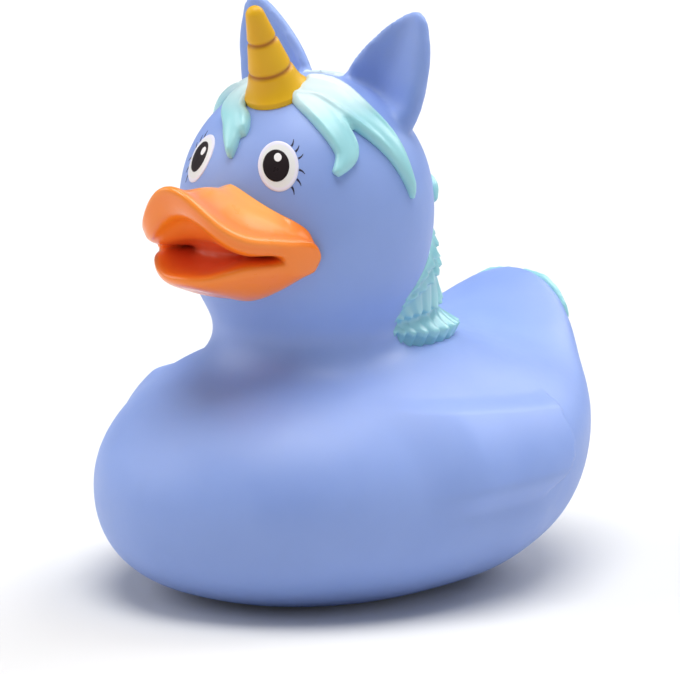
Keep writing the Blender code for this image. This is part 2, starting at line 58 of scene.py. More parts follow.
UPPER_FULLNESS = 2.0
BELLY_FULLNESS = 2.35
CHEST_FULLNESS = 2.8
WING_FRONT = -0.0215
WING_REAR = 0.0135
WING_TOP = 0.0325
WING_BOTTOM = 0.0155
WING_TIP = 0.0035
WING_ROUNDING = 0.009
WING_RELIEF = 0.0027
WING_REAR_RAMP = 0.0014
WING_FRONT_RAMP = 0.012
WING_TOP_RAMP = 0.0023
WING_FOOT_RAMP = 0.0050
WING_TOP_SLOPE = 0.09
CHEST_TURNS = (4, 14, 26, 38, 50, 62, 74)
TAIL_STATIONS = (
    # share of the tail's reach, of the half width, of the rise at the widest line and the top,
    # and how far the underside has lifted
    (0.04, 1.0, 0.04, 0.88, 0.0),
    (0.20, 0.985, 0.10, 0.86, 0.03),
    (0.38, 0.93, 0.17, 0.80, 0.10),
    (0.55, 0.82, 0.25, 0.745, 0.22),
    (0.70, 0.67, 0.35, 0.75, 0.38),
    (0.82, 0.51, 0.47, 0.85, 0.54),
    (0.91, 0.38, 0.62, 0.955, 0.70),
    (0.965, 0.25, 0.76, 0.99, 0.85),
    (0.995, 0.09, 0.87, 0.95, 1.0),
)
TAIL_LIFT_LIMIT = 0.95
RING_SIDES = 96
HEAD_SETBACK = 0.0362
HEAD_AXIS_Y = HEAD_SETBACK - CHEST_REACH
HEAD_RADIUS = 0.0202
HEAD_CENTRE_HEIGHT = 0.0621
CHEEK_DEPTH = 0.0222
CHEEK_FULLNESS = 2.4
NECK_RADIUS = 0.0144
NECK_RISE = 0.002
NECK_WAIST_HEIGHT = BACK_HEIGHT + NECK_RISE
NECK_FILLET = 0.0085
NECK_BLEND = 8
NECK_PLUG = 0.6
NECK_PLUG_DEPTH = 0.008
HEAD_LEVELS = 60
EAR_ROOT = (0.0096, 0.0056, 0.0128)
EAR_LENGTH = 0.0176
EAR_LEAN_OUT = 0.0063
EAR_LEAN_BACK = 0.0018
EAR_TURN = math.radians(6)
EAR_WIDTH = 0.0156
EAR_THICKNESS = 0.0062
EAR_HOLLOW = 0.0042
EAR_HOLLOW_LEAN = 0.45
EAR_SIDES = 40
EAR_SHAPE = (
    (-0.05, 0.86), (0.08, 0.97), (0.25, 1.0), (0.45, 0.93),
    (0.62, 0.80), (0.78, 0.60), (0.90, 0.40), (0.97, 0.22), (1.0, 0.06),
)
VENT_RADIUS = 0.0015
VENT_Y = 0.012
VENT_DEPTH = 0.009
VENT_SIDES = 48
SKIN_VOXEL = 0.00066
SKIN_SMOOTHING = 5
HULL_VOXEL = 0.0011
HULL_SMOOTHING = 18
MELT_LOSS = 0.0002
CHEST_TO_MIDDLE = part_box("duck")[0][1] + CHEST_REACH - MELT_LOSS


def solid(name, points, faces):
    """A mesh object from points in the mould's own frame, with its faces turned out."""
    mesh = bmesh.new()
    made = [mesh.verts.new((x, y + CHEST_TO_MIDDLE, z)) for x, y, z in points]
    for face in faces:
        mesh.faces.new([made[i] for i in face])
    bmesh.ops.recalc_face_normals(mesh, faces=mesh.faces)
    data = bpy.data.meshes.new(name)
    mesh.to_mesh(data)
    mesh.free()
    piece = bpy.data.objects.new(name, data)
    bpy.context.scene.collection.objects.link(piece)
    return piece


def loft(name, rings):
    """A closed body through rings of equal count."""
    count = len(rings[0])
    faces = [tuple(range(count)), tuple(range((len(rings) - 1) * count, len(rings) * count))]
    for row in range(len(rings) - 1):
        for i in range(count):
            j = (i + 1) % count
            a = row * count
            faces.append((a + i, a + j, a + count + j, a + count + i))
    return solid(name, [point for ring in rings for point in ring], faces)


def settle(piece):
    """The piece with its modifiers taken into its mesh."""
    evaluated = piece.evaluated_get(bpy.context.evaluated_depsgraph_get())
    data = bpy.data.meshes.new_from_object(evaluated)
    piece.modifiers.clear()
    piece.data = data
    return piece


def melt(parts, name, voxel, smoothing):
    """Several closed bodies run together into one, with soft valleys where they meet."""
    mesh = bmesh.new()
    for part in parts:
        mesh.from_mesh(part.data)
        bpy.data.objects.remove(part)
    data = bpy.data.meshes.new(name)
    mesh.to_mesh(data)
    mesh.free()
    piece = bpy.data.objects.new(name, data)
    bpy.context.scene.collection.objects.link(piece)
    remesh = piece.modifiers.new("Melt", "REMESH")
    remesh.mode = "VOXEL"
    remesh.voxel_size = voxel
    smooth = piece.modifiers.new("Soften", "SMOOTH")
    smooth.factor = 0.5
    smooth.iterations = smoothing
    return settle(piece)


def curve_through(points, steps):
    """A smooth run of points through the given ones, each a tuple of numbers."""
    ends = [points[0], *points, points[-1]]
    run = []
    for a, b, c, d in zip(ends, ends[1:], ends[2:], ends[3:]):
        for step in range(steps):
            t = step / steps
            run.append(tuple(
                q + 0.5 * t * (r - p + t * (2 * p - 5 * q + 4 * r - s + t * (3 * (q - r) + s - p)))
                for p, q, r, s in zip(a, b, c, d)
            ))
    run.append(tuple(points[-1]))
    return run


def ease(value):
    """A smooth step from 0 to 1."""
    value = min(max(value, 0.0), 1.0)
    return value * value * (3 - 2 * value)


def wing_relief(y, z):
    """How far a wing stands off the flank: sharp behind and above, faint in front and below."""
    rise = (z - WING_BOTTOM) / (WING_TOP - WING_BOTTOM)
    if not 0 < rise < 1.2:
        return 0.0
    behind = WING_REAR - WING_ROUNDING * max(1 - 1.8 * rise, 0.0) ** 2
    behind += WING_TIP * max((rise - 0.65) / 0.35, 0.0) ** 2
    above = WING_TOP - WING_TOP_SLOPE * y + 0.3 * WING_TIP * max(y / WING_REAR - 0.6, 0.0) ** 2
    relief = ease((behind - y) / WING_REAR_RAMP) * ease((y - WING_FRONT) / WING_FRONT_RAMP)
    relief *= ease((above - z) / WING_TOP_RAMP) * ease((z - WING_BOTTOM) / WING_FOOT_RAMP)
    return WING_RELIEF * relief


def body():
    """The hull from the chest to the cocked tail."""
    half = 0.5 * BODY_WIDTH
    bottom = WIDEST_LEVEL - BELLY_DEPTH
    stations = []
    for turn in CHEST_TURNS:
        reach = math.cos(math.radians(turn))
        share = math.sin(math.radians(turn))
        under = (1 - reach ** CHEST_FULLNESS) ** (1 / CHEST_FULLNESS)
        stations.append((
            -CHEST_REACH * reach,
            half * share,
            WIDEST_LEVEL,
            WIDEST_LEVEL + (BACK_HEIGHT - WIDEST_LEVEL) * share,
            WIDEST_LEVEL + (bottom - WIDEST_LEVEL) * under,
        ))
    rise = TAIL_HEIGHT - WIDEST_LEVEL
    for place, width, level, height, under in TAIL_STATIONS:
        widest = WIDEST_LEVEL + rise * level
        stations.append((
            TAIL_REACH * place,
            half * width,
            widest,
            WIDEST_LEVEL + rise * height,
            bottom + (widest - bottom) * under * TAIL_LIFT_LIMIT,
        ))
    rings = []
    for y, half_width, level, top, low in curve_through(stations, 6):
        ring = []
        for i in range(RING_SIDES):
            turn = math.tau * i / RING_SIDES
            across = math.cos(turn)
            up = math.sin(turn)
            power = 2 / (UPPER_FULLNESS if up > 0 else BELLY_FULLNESS)
            x = half_width * math.copysign(abs(across) ** power, across)
            room = top - level if up > 0 else level - low
            z = level + room * math.copysign(abs(up) ** power, up)
            ring.append((x, y, z))
        rings.append(ring)
    return loft("hull", rings)


def head_radius(z):
    """The radius of the head and neck at a height."""
    rise = z - HEAD_CENTRE_HEIGHT
    if rise >= 0:
        return math.sqrt(max(HEAD_RADIUS * HEAD_RADIUS - rise * rise, 0.0))
    left = max(1 - (-rise / CHEEK_DEPTH) ** CHEEK_FULLNESS, 0.0)
    cheek = HEAD_RADIUS * left ** (1 / CHEEK_FULLNESS)
    fall = min(max(NECK_WAIST_HEIGHT - z, 0.0), NECK_FILLET)
    flare = NECK_RADIUS + NECK_FILLET - math.sqrt(NECK_FILLET * NECK_FILLET - fall * fall)
    return (cheek ** NECK_BLEND + flare ** NECK_BLEND) ** (1 / NECK_BLEND)


def head():
    """The head with its full cheeks and the neck, flared where it runs into the back."""
    top = HEAD_CENTRE_HEIGHT + HEAD_RADIUS
    foot = NECK_WAIST_HEIGHT - NECK_FILLET + 0.0004
    rings = []
    for i in range(HEAD_LEVELS):
        z = foot + (top - foot) * math.sin(0.5 * math.pi * i / HEAD_LEVELS)
        radius = max(head_radius(z), 0.0002)
        rings.append([
            (radius * math.cos(a), HEAD_AXIS_Y + radius * math.sin(a), z)
            for a in (math.tau * k / RING_SIDES for k in range(RING_SIDES))
        ])
    low = [
        (x * NECK_PLUG, HEAD_AXIS_Y + (y - HEAD_AXIS_Y) * NECK_PLUG, foot - NECK_PLUG_DEPTH)
        for x, y, z in rings[0]
    ]
    return loft("head", [low, *rings])


def ear(side):
    """A leaf that stands off the crown, hollow in front."""
    root = Vector((EAR_ROOT[0], HEAD_AXIS_Y + EAR_ROOT[1], HEAD_CENTRE_HEIGHT + EAR_ROOT[2]))
    turned = Matrix.Rotation(EAR_TURN, 3, "Z")
    rings = []
    for along, width in curve_through(EAR_SHAPE, 5):
        middle = root + Vector((
            EAR_LEAN_OUT * max(along, 0.0) ** 1.6,
            EAR_LEAN_BACK * along,
            EAR_LENGTH * along,
        ))
        half = 0.5 * EAR_WIDTH * width
        deep = 0.5 * EAR_THICKNESS * (0.35 + 0.65 * width)
        hollow = EAR_HOLLOW * ease(along * 5) * width
        ring = []
        for k in range(EAR_SIDES):
            a = math.tau * k / EAR_SIDES
            across = math.cos(a)
            depth = deep * math.sin(a)
            if depth < 0:
                depth += hollow * (1 - across * across) ** 1.5 * (1 - EAR_HOLLOW_LEAN * across)
            point = middle + turned @ Vector((across * half, depth, 0.0))
            ring.append((side * point.x, point.y, point.z))
        rings.append(ring)
    return loft("ear", rings)


def node(tree, kind, **values):
    """A node with its plain settings and unlinked inputs filled in."""
    made = tree.nodes.new(kind)
    for name, value in values.items():
        if name in made.inputs:
            made.inputs[name].default_value = value
        else:
            setattr(made, name, value)
    return made


def ramp(tree, low, high, start=0.0, end=1.0):
    """A node that maps the range from low to high onto the one from start to end."""
    made = node(tree, "ShaderNodeMapRange")
    for name, value in zip(("From Min", "From Max", "To Min", "To Max"), (low, high, start, end)):
        made.inputs[name].default_value = value
    return made


def surface(name, colour, dark, roughness, grain=0.00004):
    """A satin moulded or painted surface: faint clouds of colour, uneven gloss and a fine skin."""
    made = bpy.data.materials.new(name)
    made.use_nodes = True
    tree = made.node_tree
    shader = tree.nodes["Principled BSDF"]
    place = node(tree, "ShaderNodeTexCoord")
    cloud = node(tree, "ShaderNodeTexNoise", Scale=60.0, Detail=3.0, Roughness=0.55)
    blend = node(tree, "ShaderNodeMix", data_type="RGBA")
    blend.inputs["A"].default_value = (*dark, 1.0)
    blend.inputs["B"].default_value = (*colour, 1.0)
    spread = ramp(tree, 0.30, 0.62)
    smear = node(tree, "ShaderNodeTexNoise", Scale=240.0, Detail=4.0, Roughness=0.6)
    gloss = ramp(tree, 0.3, 0.7, roughness - 0.05, roughness + 0.06)
    skin = node(tree, "ShaderNodeTexNoise", Scale=2600.0, Detail=2.0, Roughness=0.5)
    bump = node(tree, "ShaderNodeBump", Strength=0.12, Distance=grain)
    link = tree.links.new
    for texture in (cloud, smear, skin):
        link(place.outputs["Object"], texture.inputs["Vector"])
    link(cloud.outputs["Fac"], spread.inputs["Value"])
    link(spread.outputs["Result"], blend.inputs["Factor"])
    link(blend.outputs["Result"], shader.inputs["Base Color"])
    link(smear.outputs["Fac"], gloss.inputs["Value"])
    link(gloss.outputs["Result"], shader.inputs["Roughness"])
    link(skin.outputs["Fac"], bump.inputs["Height"])
    link(bump.outputs["Normal"], shader.inputs["Normal"])
    return made


def stored(material, attribute):
    """The socket that gives a value stored on the mesh."""
    return node(material.node_tree, "ShaderNodeAttribute", attribute_name=attribute).outputs["Fac"]


def tint(material, share, colour):
    """Blends the paint of a material towards a second colour by the value at a socket."""
    tree = material.node_tree
    shader = tree.nodes["Principled BSDF"]
    mix = node(tree, "ShaderNodeMix", data_type="RGBA")
    mix.inputs["B"].default_value = (*colour, 1.0)
    tree.links.new(shader.inputs["Base Color"].links[0].from_socket, mix.inputs["A"])
    tree.links.new(share, mix.inputs["Factor"])
    tree.links.new(mix.outputs["Result"], shader.inputs["Base Color"])


def tune(material, values):
    """Plain values set on the sockets of a material's shader."""
    for name, value in values.items():
        material.node_tree.nodes["Principled BSDF"].inputs[name].default_value = value


def dress(piece, material):
    """A finished piece: smooth shaded, in its finish, riding with the moulding it stands for."""
    piece.data.materials.clear()
    piece.data.materials.append(material)
    piece.data.shade_smooth()
    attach(piece, "root")
    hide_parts("duck")


vinyl = surface("soft_vinyl", (0.262, 0.376, 0.753), (0.235, 0.345, 0.715), 0.46)
tune(vinyl, {
    "Subsurface Weight": 0.15,
    "Subsurface Radius": (0.5, 0.7, 1.0),
    "Subsurface Scale": 0.002,
})
hull = melt([body(), head()], "hull", HULL_VOXEL, HULL_SMOOTHING)
skin = melt([hull, ear(-1), ear(1)], "skin", SKIN_VOXEL, SKIN_SMOOTHING)
for vertex in skin.data.vertices:
    spot = vertex.co
    spot.z = max(spot.z, 0.0)
    inward = min(1.0, abs(spot.x) * 3 / BODY_WIDTH)
    spot.x += math.copysign(inward * wing_relief(spot.y - CHEST_TO_MIDDLE, spot.z), spot.x)
vent = loft("vent", [
    [
        (VENT_RADIUS * math.cos(a), VENT_Y + VENT_RADIUS * math.sin(a), z)
        for a in (math.tau * k / VENT_SIDES for k in range(VENT_SIDES))
    ]
    for z in (-VENT_DEPTH, VENT_DEPTH)
])
cut = skin.modifiers.new("Vent", "BOOLEAN")
cut.operation = "DIFFERENCE"
cut.solver = "EXACT"
cut.object = vent
settle(skin)
bpy.data.objects.remove(vent)
dress(skin, vinyl)
skin_tree = BVHTree.FromObject(skin, bpy.context.evaluated_depsgraph_get())


# The bill is part of the same moulding, sprayed a glossy orange: a broad upper bill that curls up
# at its tip with a rolled lip, a mouth that stands open in front and a fuller lower bill.
BILL_AXIS_SETBACK = 0.012
BILL_LENGTH = 0.0236
BILL_HALF_WIDTH = 0.0146
LOWER_BILL_LENGTH = 0.0208
LOWER_BILL_HALF_WIDTH = 0.0138
MOUTH_DROP = 0.0050
MOUTH_HEIGHT = HEAD_CENTRE_HEIGHT - MOUTH_DROP
BILL_ROOT_RISE = 0.0092
BILL_ROOT_HEIGHT = MOUTH_HEIGHT + BILL_ROOT_RISE
BILL_ROOT_FALL = 0.0064
BILL_ROOT_FILLET = 0.0011
BILL_HUMP = 0.0009
BILL_RIM_RISE = 0.0024
BILL_RIM_HEIGHT = MOUTH_HEIGHT + BILL_RIM_RISE
BILL_RIM_SIDE_FALL = 0.0016
MOUTH_SIDE_FALL = 0.0009
BILL_TIP_RISE = 0.0087
BILL_TIP_SPREAD = math.radians(20)
BILL_FAN = math.radians(79)
BILL_ROUND_END = 0.74
BILL_CORNER = 0.60
BILL_CORNER_RUN = 0.16
LIP_ROLL = 0.0011
LIP_DROP = 0.0017
LIP_TIP_DROP = 0.0033
PALATE_SETBACK = 0.0050
MOUTH_GAPE = 0.0042
MOUTH_SLIT = 0.0004
MOUTH_OPEN_FAN = math.radians(6)
MOUTH_SHUT_FAN = math.radians(34)
MOUTH_DEPTH = 0.0085
LOWER_LIP_THICKNESS = 0.0036
CHIN_DROP = 0.0089
CHIN_HEIGHT = MOUTH_HEIGHT - CHIN_DROP
CHIN_SIDE_RISE = 0.0075
LIP_LEDGE = 0.0016
BILL_SECTIONS = 60
RIM_POINT = 6
UNDER_POINT = 18
# painted highlight on the top of the bill, given for points of each section
BILL_TOP_HIGHLIGHT = {0: 1.0, 1: 1.0, 2: 1.0, 3: 0.8, 4: 0.15, 5: 0.3, 6: 0.3}
# painted shade inside the mouth, given for points of each section
MOUTH_PAINTED_SHADE = {4: 0.12, 7: 0.1, 10: 0.2, 11: 0.42, 12: 0.6, 13: 1.0, 14: 1.0, 15: 0.8, 16: 0.3}


def face_reach(fan, z):
    """How far the head's surface lies from the bill's axis at an angle of the fan."""
    side = BILL_AXIS_SETBACK * math.sin(fan)
    return math.sqrt(head_radius(z) ** 2 - side * side) - BILL_AXIS_SETBACK * math.cos(fan)


def bill_section(fan):
    """The closed outline of the bill in the upright plane at one angle of the fan."""
    front = math.exp(-((fan / BILL_TIP_SPREAD) ** 2))
    side = abs(fan) / BILL_FAN
    corner = ease((side - BILL_CORNER) / BILL_CORNER_RUN)
    parted = 1 - 0.85 * corner
    cosine = math.cos(fan)
    sine = math.sin(fan)
    rim = 1 / math.hypot(cosine / BILL_LENGTH, sine / BILL_HALF_WIDTH)
    low = 1 / math.hypot(cosine / LOWER_BILL_LENGTH, sine / LOWER_BILL_HALF_WIDTH)
    root_z = BILL_ROOT_HEIGHT - BILL_ROOT_FALL * side ** 1.4
    rim_z = BILL_RIM_HEIGHT + BILL_TIP_RISE * front - BILL_RIM_SIDE_FALL * side ** 4
    open_share = 1 - ease((abs(fan) - MOUTH_OPEN_FAN) / (MOUTH_SHUT_FAN - MOUTH_OPEN_FAN))
    gape = 0.5 * (MOUTH_SLIT + (MOUTH_GAPE - MOUTH_SLIT) * open_share)
    mouth_z = MOUTH_HEIGHT - MOUTH_SIDE_FALL * side ** 4
    lip_z = max(rim_z - LIP_DROP - LIP_TIP_DROP * front, mouth_z + gape + 0.0005)
    inner = max(low - MOUTH_DEPTH * (1 - 0.4 * side), face_reach(fan, mouth_z) + 0.0004)
    inner = min(inner, low - 0.0016)
    inner += (low - 0.0005 - inner) * corner
    chin_z = CHIN_HEIGHT + CHIN_SIDE_RISE * side ** 3
    thick = LOWER_LIP_THICKNESS * (1 - 0.25 * side) * (1 - 0.3 * front)
    edge = low - 0.0009 * parted
    under_z = mouth_z - gape - thick
    sag = 0.2 + 0.44 * front
    face = min(face_reach(fan, root_z), 0.88 * rim)
    fillet_z = root_z + BILL_ROOT_FILLET
    above = min(face_reach(fan, fillet_z) - 0.0002, face)
    chin = min(face_reach(fan, chin_z), 0.8 * low)
    span = rim - face
    under_span = low - chin
    ledge = rim - 0.0012 * parted - 0.0030 * front
    palate = rim - 0.0020 * parted - PALATE_SETBACK * front - 0.6 * LIP_LEDGE * open_share
    points = [
        (0.45 * face, fillet_z),
        (above, fillet_z),
        (face + 0.08 * span, root_z + 0.2 * BILL_ROOT_FILLET),
        (face + 0.35 * span, 0.68 * root_z + 0.32 * rim_z + BILL_HUMP * (0.33 + 0.67 * front)),
        (face + 0.68 * span, 0.30 * root_z + 0.70 * rim_z - 0.33 * BILL_HUMP * front),
        (rim - min(0.9 * LIP_ROLL, 0.2 * span), rim_z + LIP_ROLL),
        (rim, rim_z + 0.2 * LIP_ROLL),
        (rim - 0.5 * LIP_ROLL * parted, rim_z - 0.6 * LIP_ROLL),
        (rim - 0.0006 * parted - 0.0014 * front, 0.45 * (rim_z - 0.6 * LIP_ROLL) + 0.55 * lip_z),
        (ledge, lip_z),
        (ledge - LIP_LEDGE * open_share, lip_z + 0.0002 * open_share),
        (palate, mouth_z + gape + 0.0003),
        (inner + 0.5 * (palate - inner), mouth_z + gape),
        (inner, mouth_z + 0.4 * gape),
        (inner, mouth_z - 0.6 * gape),
        (inner + 0.5 * (edge - inner), mouth_z - gape),
        (edge, mouth_z - gape - 0.0004),
        (low, mouth_z - gape - 0.35 * thick),
        (edge, under_z),
        (chin + 0.5 * under_span, sag * under_z + (1 - sag) * chin_z),
        (chin, chin_z),
        (0.45 * chin, chin_z + 0.0008),
    ]
    closed = ease((side - BILL_CORNER + 0.08) / BILL_CORNER_RUN)
    for k in range(RIM_POINT + 1, UNDER_POINT):
        share = (k - RIM_POINT) / (UNDER_POINT - RIM_POINT)
        reach, z = points[k]
        plain = rim + share * (low - rim) + 0.0003 * math.sin(math.pi * share)
        level = rim_z + share * (under_z - rim_z)
        points[k] = (reach + closed * (plain - reach), z + corner * (level - z))
    past = max(side - BILL_ROUND_END, 0.0) / (1 - BILL_ROUND_END)
    shrink = max((1 - past ** 3) ** (1 / 3), 0.12)
    axis = Vector((0.0, HEAD_AXIS_Y - BILL_AXIS_SETBACK, 0.0))
    return [
        axis + Vector((sine * reach, -cosine * reach, mouth_z + (z - mouth_z) * shrink))
        for reach, z in points
    ]


fans = [BILL_FAN * (2 * i / BILL_SECTIONS - 1) for i in range(BILL_SECTIONS + 1)]
rings = [bill_section(fan) for fan in fans]
bill = loft("bill", rings)
# The inside of the open mouth is painted a deeper red-orange, darkest at its back and fading where
# the bill shuts: painted shade in the mouth.
mouth_shade = bill.data.attributes.new("mouth", "FLOAT", "POINT")
for i, fan in enumerate(fans):
    shut = 1 - ease((abs(fan) / BILL_FAN - BILL_CORNER + 0.1) / BILL_CORNER_RUN)
    for k, dark in MOUTH_PAINTED_SHADE.items():
        mouth_shade.data[i * len(rings[0]) + k].value = dark * shut
# The top of the upper bill is painted lighter and more golden, fading towards the corners: a
# painted highlight from the light above.
top = bill.data.attributes.new("top", "FLOAT", "POINT")
for i, fan in enumerate(fans):
    middle = 1 - ease((abs(fan) / BILL_FAN - 0.55) / 0.35)
    for k, highlight in BILL_TOP_HIGHLIGHT.items():
        top.data[i * len(rings[0]) + k].value = highlight * middle
rounding = bill.modifiers.new("Round", "SUBSURF")
rounding.levels = 2
rounding.render_levels = 2
settle(bill)
orange = surface("orange_paint", (0.97, 0.235, 0.014), (0.95, 0.215, 0.011), 0.32, 0.00001)
# painted highlight: the bill's top is tinted lighter and more golden by its stored top value
tint(orange, stored(orange, "top"), (1.0, 0.40, 0.075))
# painted shade: the inside of the mouth is tinted a deeper red-orange by its stored mouth value
tint(orange, stored(orange, "mouth"), (0.88, 0.13, 0.040))
tune(orange, {"Specular IOR Level": 0.3, "Coat Weight": 0.45, "Coat Roughness": 0.14})
dress(bill, orange)


# The horn is a short turned cone on the forehead, square to it, with two fine grooves round it and
# a rounded tip, sprayed warm yellow over the blue vinyl, with painted shade darkening the grooves.
HORN_LENGTH = 0.0135
HORN_BASE_RADIUS = 0.0045
HORN_TIP_RADIUS = 0.0015
HORN_LEAN = math.radians(23)
HORN_GROOVES = (0.28, 0.66)
HORN_GROOVE_DEPTH = 0.00032
HORN_GROOVE_WIDTH = 0.0007
HORN_FLARE = 0.0007
HORN_STEPS = 90
HORN_SIDES = 64
HORN_TIP_TURNS = (8, 20, 32, 44, 56, 68, 80, 87)


def horn():
    """The cone, its grooves and its rounded tip."""
    profile = [(HORN_BASE_RADIUS * 1.1, -0.004, 0.0)]
    for i in range(HORN_STEPS):
        along = i / HORN_STEPS
        height = HORN_LENGTH * along
        radius = HORN_BASE_RADIUS + (HORN_TIP_RADIUS - HORN_BASE_RADIUS) * along ** 0.86
        radius += HORN_FLARE * math.exp(-height / 0.0012)
        cut_in = sum(
            math.exp(-(((height - groove * HORN_LENGTH) / (0.5 * HORN_GROOVE_WIDTH)) ** 2))
            for groove in HORN_GROOVES
        )
        profile.append((radius - HORN_GROOVE_DEPTH * cut_in, height, cut_in))
    for turn in HORN_TIP_TURNS:
        a = math.radians(turn)
        profile.append((
            HORN_TIP_RADIUS * math.cos(a),
            HORN_LENGTH + HORN_TIP_RADIUS * (math.sin(a) - 0.1),
            0.0,
        ))
    foot = Vector((
        0.0,
        HEAD_AXIS_Y - HEAD_RADIUS * math.sin(HORN_LEAN),
        HEAD_CENTRE_HEIGHT + HEAD_RADIUS * math.cos(HORN_LEAN),
    ))
    place = Matrix.Translation(foot) @ Matrix.Rotation(HORN_LEAN, 4, "X")
    turns = [math.tau * k / HORN_SIDES for k in range(HORN_SIDES)]
    made = loft("horn", [
        [place @ Vector((r * math.cos(a), r * math.sin(a), z)) for a in turns]
        for r, z, cut_in in profile
    ])
    # The grooves are painted a darker orange-brown: painted shade in the grooves.
    groove = made.data.attributes.new("groove", "FLOAT", "POINT")
    for row, (r, z, cut_in) in enumerate(profile):
        for k in range(HORN_SIDES):
            groove.data[row * HORN_SIDES + k].value = cut_in
    return made


yellow = surface("yellow_paint", (0.80, 0.46, 0.012), (0.72, 0.36, 0.014), 0.38)
# painted shade: the grooves are tinted orange-brown by the stored groove value
tint(yellow, stored(yellow, "groove"), (0.45, 0.17, 0.020))
tune(yellow, {"Specular IOR Level": 0.3})
dress(horn(), yellow)


# The fringe falls from behind the horn: a long strand round each side of the brow and a short
# lock before it, raised in the mould and painted pale aqua, with a painted highlight on the crown.
# Each lock is swept along a path.
LOCK_THICKNESS = 0.0013
LOCK_SINK = 0.0012
FRINGE_WIDTH = 0.0064
PROFILE_RADIUS = 0.01
FRINGE_VOXEL = 0.00034
LOCK_SIDES = 24
RIB_PLACES = (-0.72, 0.0, 0.70)
RIB_SHARE = 0.22
RIB_LIFT = 0.0005
MIDRIB_LIFT = 0.0002
CROWN_LEVELS = (HEAD_CENTRE_HEIGHT + 0.0150, HEAD_CENTRE_HEIGHT + 0.0196)
CROWN_HIGHLIGHT = 0.6
VALLEY_SHADE = 0.65
aqua = surface("aqua_paint", (0.35, 0.70, 0.745), (0.29, 0.63, 0.69), 0.34)
# Aqua above the crown's levels is painted near white: a painted highlight from the light overhead.
place = node(aqua.node_tree, "ShaderNodeTexCoord")
axes = node(aqua.node_tree, "ShaderNodeSeparateXYZ")
crown = ramp(aqua.node_tree, *CROWN_LEVELS, end=CROWN_HIGHLIGHT)
# The mane's valleys are tinted a darker blue-aqua: painted shade between the strands.
faint = node(aqua.node_tree, "ShaderNodeMath", operation="MULTIPLY")
faint.inputs[1].default_value = VALLEY_SHADE
aqua.node_tree.links.new(place.outputs["Object"], axes.inputs["Vector"])
aqua.node_tree.links.new(axes.outputs["Z"], crown.inputs["Value"])
aqua.node_tree.links.new(stored(aqua, "valley"), faint.inputs[0])
tint(aqua, crown.outputs["Result"], (0.88, 0.86, 0.87))
tint(aqua, faint.outputs["Value"], (0.11, 0.36, 0.52))
tune(aqua, {"Coat Weight": 0.35, "Coat Roughness": 0.2})


